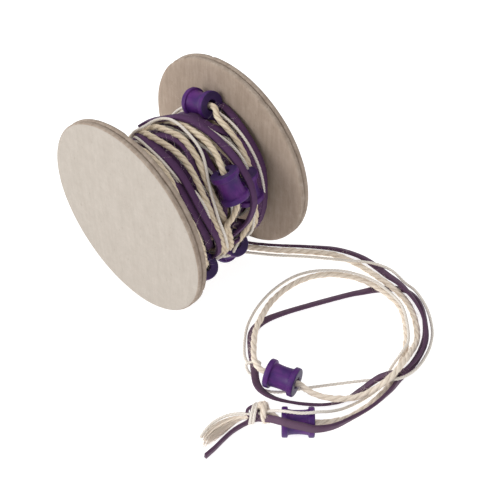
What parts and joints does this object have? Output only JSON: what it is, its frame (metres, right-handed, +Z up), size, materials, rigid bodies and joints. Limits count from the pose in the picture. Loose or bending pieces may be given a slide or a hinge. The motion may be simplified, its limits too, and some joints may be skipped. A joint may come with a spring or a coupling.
{
  "type": "spool of craft cord with wooden beads",
  "caption": "Card spool wound with jute cord, suede lace and waxed cotton, with dyed wooden spool beads; the free ends lie in a loop and end in a knot.",
  "frame": {"origin": "on the table under the spool's centre", "axes": "+X along the spool's axis from the near disc to the far disc, +Z up; the free cords lie towards -Y"},
  "size_m": [0.1126, 0.1457, 0.08],
  "materials": {
    "card": "matt grey board, two plies",
    "dyed_wood": "violet dye, satin lacquer",
    "jute": "three-ply twist, fuzzy",
    "suede": "dull plum suede",
    "cotton": "waxed, tightly twisted"
  },
  "bodies": {
    "spool": {"near_flange_outer_ply": "card", "near_flange_inner_ply": "card", "far_flange_inner_ply": "card", "far_flange_outer_ply": "card", "core_tube": "card", "cotton_winding": "cotton", "lace_winding": "suede", "jute_winding": "jute", "wound_cord_1": "jute", "wound_cord_2": "jute", "wound_cord_3": "jute", "wound_cord_4": "jute", "wound_cord_5": "jute", "jute_cord": "jute", "cotton_cord": "cotton", "suede_lace": "suede", "jute_tail": "jute", "cotton_tail": "cotton", "lace_tail": "suede", "end_knot": "jute"},
    "wound_bead_1": {"wound_bead_1": "dyed_wood"},
    "wound_bead_2": {"wound_bead_2": "dyed_wood"},
    "wound_bead_3": {"wound_bead_3": "dyed_wood"},
    "wound_bead_4": {"wound_bead_4": "dyed_wood"},
    "wound_bead_5": {"wound_bead_5": "dyed_wood"},
    "loop_bead_1": {"loop_bead_1": "dyed_wood"},
    "loop_bead_2": {"loop_bead_2": "dyed_wood"}
  },
  "joints": [
    {"name": "wound_bead_1_spin", "type": "hinge", "parent": "spool", "child": "wound_bead_1", "pos_m": [0.0178, 0.0064, 0.0648], "axis": [0.0301, -0.9321, 0.3608], "continuous": true},
    {"name": "wound_bead_2_spin", "type": "hinge", "parent": "spool", "child": "wound_bead_2", "pos_m": [0.0002, -0.0268, 0.0563], "axis": [0.0602, -0.5017, -0.8629], "continuous": true},
    {"name": "wound_bead_3_spin", "type": "hinge", "parent": "spool", "child": "wound_bead_3", "pos_m": [0.0103, -0.025, 0.0479], "axis": [0.0401, -0.3009, -0.9528], "continuous": true},
    {"name": "wound_bead_4_spin", "type": "hinge", "parent": "spool", "child": "wound_bead_4", "pos_m": [0.005, -0.0209, 0.017], "axis": [0, 0.6112, -0.7915], "continuous": true},
    {"name": "wound_bead_5_spin", "type": "hinge", "parent": "spool", "child": "wound_bead_5", "pos_m": [-0.0115, -0.0215, 0.0168], "axis": [0, 0.5822, -0.8131], "continuous": true},
    {"name": "loop_bead_1_spin", "type": "hinge", "parent": "spool", "child": "loop_bead_1", "pos_m": [-0.0209, -0.075, 0.0073], "axis": [0.3449, -0.9387, 0], "continuous": true},
    {"name": "loop_bead_2_spin", "type": "hinge", "parent": "spool", "child": "loop_bead_2", "pos_m": [-0.03005, -0.0917, 0.0055], "axis": [0.7051, -0.7091, 0], "continuous": true}
  ]
}
